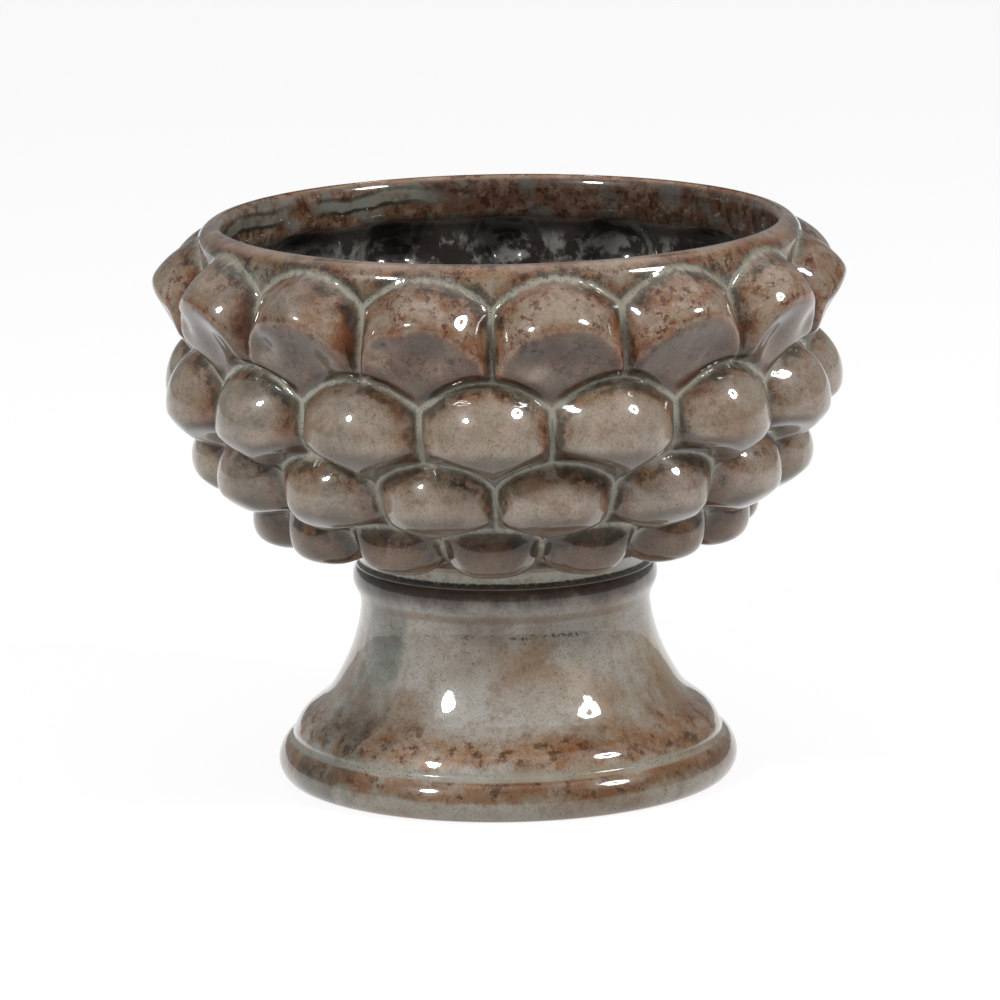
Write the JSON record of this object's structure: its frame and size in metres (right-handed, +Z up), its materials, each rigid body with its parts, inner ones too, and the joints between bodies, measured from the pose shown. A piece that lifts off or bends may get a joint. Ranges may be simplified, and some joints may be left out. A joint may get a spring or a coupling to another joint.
{
  "type": "footed planter",
  "caption": "Round glazed planter bowl covered in overlapping leaf-like scales, with a plain lip, on a flared hollow stand with a moulded foot.",
  "frame": {"origin": "centre of the stand's foot ring, on the surface that it stands on", "axes": "+Z up along the planter's axis, towards the open mouth; the pictured side faces -Y"},
  "size_m": [0.2534, 0.2531, 0.2061],
  "materials": {
    "bowl_glaze": "glossy mottled stoneware glaze, grey-beige with rust brown and blue-grey, pale green where it pools",
    "stand_glaze": "glossy mottled stoneware glaze, grey-beige with rust brown at the mouldings; bare fired clay on the foot ring",
    "joint_slip": "fired clay slip, dark where the glaze has crawled back"
  },
  "bodies": {
    "root": {"bowl": "bowl_glaze", "stand": "stand_glaze", "slip_joint": "joint_slip"}
  },
  "joints": []
}
